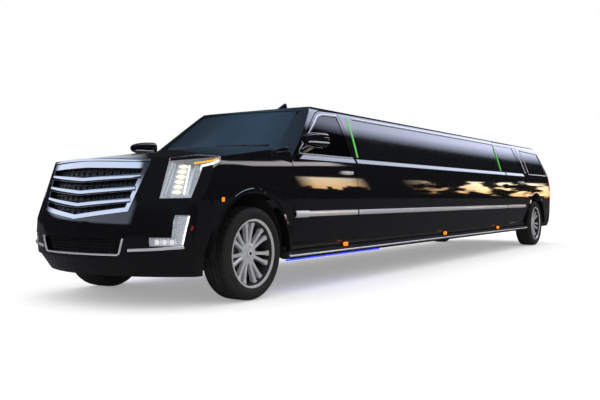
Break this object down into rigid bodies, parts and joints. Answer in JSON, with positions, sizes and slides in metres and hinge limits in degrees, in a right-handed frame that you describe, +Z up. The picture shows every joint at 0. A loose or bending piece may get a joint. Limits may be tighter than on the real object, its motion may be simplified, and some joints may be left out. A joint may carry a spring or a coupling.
{
  "type": "stretched sport utility limousine",
  "caption": "Long black stretched sport utility limousine with hinged doors, hood and tailgate, steered front wheels, bright grille and long dark side windows.",
  "frame": {"origin": "on the ground under the middle of the overall box", "axes": "+X forward, +Y to the left, +Z up"},
  "size_m": [10.8091, 2.464, 1.956],
  "materials": {
    "paint": "gloss",
    "chrome": "polished",
    "tinted_glass": "polished",
    "screen_glass": "polished",
    "lamp_glass": "polished",
    "tail_lamp_red": "gloss",
    "dark_plastic": "matte",
    "mesh_plastic": "satin",
    "frame_steel": "satin",
    "cast_iron": "cast",
    "aluminium": "cast",
    "tyre": "matte",
    "hide": "satin",
    "carpet": "matte"
  },
  "bodies": {
    "body": {"chassis_frame": "frame_steel", "floor_pan": "carpet", "front_suspension": "cast_iron", "rear_axle": "cast_iron", "engine_block": "aluminium", "wheel_liner_front_left": "dark_plastic", "wheel_liner_front_right": "dark_plastic", "wheel_liner_rear_left": "dark_plastic", "wheel_liner_rear_right": "dark_plastic", "body_side_left": "paint", "body_side_right": "paint", "roof_panel": "paint", "cowl_panel": "dark_plastic", "fender_left": "paint", "fender_right": "paint", "front_bumper": "paint", "grille": "chrome", "grille_mesh": "mesh_plastic", "headlamp_left": "lamp_glass", "headlamp_right": "lamp_glass", "fog_lamp_left": "lamp_glass", "fog_lamp_right": "lamp_glass", "rear_bumper": "paint", "tail_lamp_left": "tail_lamp_red", "tail_lamp_right": "tail_lamp_red", "windshield": "screen_glass", "side_glass_left": "tinted_glass", "side_glass_right": "tinted_glass", "quarter_glass_left": "tinted_glass", "quarter_glass_right": "tinted_glass", "running_board_left": "dark_plastic", "running_board_right": "dark_plastic", "dashboard": "dark_plastic", "steering_wheel": "dark_plastic", "front_seat_left": "hide", "front_seat_right": "hide", "lounge_seat": "hide"},
    "door_front_left": {"door_front_left": "paint", "door_glass_front_left": "screen_glass", "mirror_left": "paint"},
    "door_front_right": {"door_front_right": "paint", "door_glass_front_right": "screen_glass", "mirror_right": "paint"},
    "door_rear_left": {"door_rear_left": "paint", "door_glass_rear_left": "tinted_glass"},
    "door_rear_right": {"door_rear_right": "paint", "door_glass_rear_right": "tinted_glass"},
    "hood": {"hood": "paint"},
    "tailgate": {"tailgate": "paint", "tailgate_glass": "tinted_glass"},
    "knuckle_left": {"knuckle_left": "cast_iron"},
    "knuckle_right": {"knuckle_right": "cast_iron"},
    "wheel_front_left": {"tyre_front_left": "tyre", "rim_front_left": "chrome"},
    "wheel_front_right": {"tyre_front_right": "tyre", "rim_front_right": "chrome"},
    "wheel_rear_left": {"tyre_rear_left": "tyre", "rim_rear_left": "chrome"},
    "wheel_rear_right": {"tyre_rear_right": "tyre", "rim_rear_right": "chrome"}
  },
  "joints": [
    {"name": "door_front_left_hinge", "type": "hinge", "parent": "body", "child": "door_front_left", "pos_m": [3.595, 0.986, 0.8], "axis": [0, 0, -1], "range_deg": [0, 65]},
    {"name": "door_rear_left_hinge", "type": "hinge", "parent": "body", "child": "door_rear_left", "pos_m": [-2.655, 0.986, 0.8], "axis": [0, 0, -1], "range_deg": [0, 65]},
    {"name": "door_front_right_hinge", "type": "hinge", "parent": "body", "child": "door_front_right", "pos_m": [3.595, -0.986, 0.8], "axis": [0, 0, 1], "range_deg": [0, 65]},
    {"name": "door_rear_right_hinge", "type": "hinge", "parent": "body", "child": "door_rear_right", "pos_m": [-2.655, -0.986, 0.8], "axis": [0, 0, 1], "range_deg": [0, 65]},
    {"name": "hood_hinge", "type": "hinge", "parent": "body", "child": "hood", "pos_m": [3.795, 0, 1.4], "axis": [0, -1, 0], "range_deg": [0, 55]},
    {"name": "tailgate_hinge", "type": "hinge", "parent": "body", "child": "tailgate", "pos_m": [-5.005, 0, 1.893], "axis": [0, 1, 0], "range_deg": [0, 80]},
    {"name": "steer_left", "type": "hinge", "parent": "body", "child": "knuckle_left", "pos_m": [4.295, 0.76, 0.4075], "axis": [0, 0, 1], "range_deg": [-32, 32]},
    {"name": "steer_right", "type": "hinge", "parent": "body", "child": "knuckle_right", "pos_m": [4.295, -0.76, 0.4075], "axis": [0, 0, 1], "range_deg": [-32, 32]},
    {"name": "wheel_front_left_spin", "type": "hinge", "parent": "knuckle_left", "child": "wheel_front_left", "pos_m": [4.295, 0.8725, 0.4075], "axis": [0, 1, 0], "continuous": true},
    {"name": "wheel_rear_left_spin", "type": "hinge", "parent": "body", "child": "wheel_rear_left", "pos_m": [-4.235, 0.8725, 0.4075], "axis": [0, 1, 0], "continuous": true},
    {"name": "wheel_front_right_spin", "type": "hinge", "parent": "knuckle_right", "child": "wheel_front_right", "pos_m": [4.295, -0.8725, 0.4075], "axis": [0, 1, 0], "continuous": true},
    {"name": "wheel_rear_right_spin", "type": "hinge", "parent": "body", "child": "wheel_rear_right", "pos_m": [-4.235, -0.8725, 0.4075], "axis": [0, 1, 0], "continuous": true}
  ],
  "couplings": [
    {"joint": "steer_right", "follows": "steer_left", "ratio": 1}
  ]
}
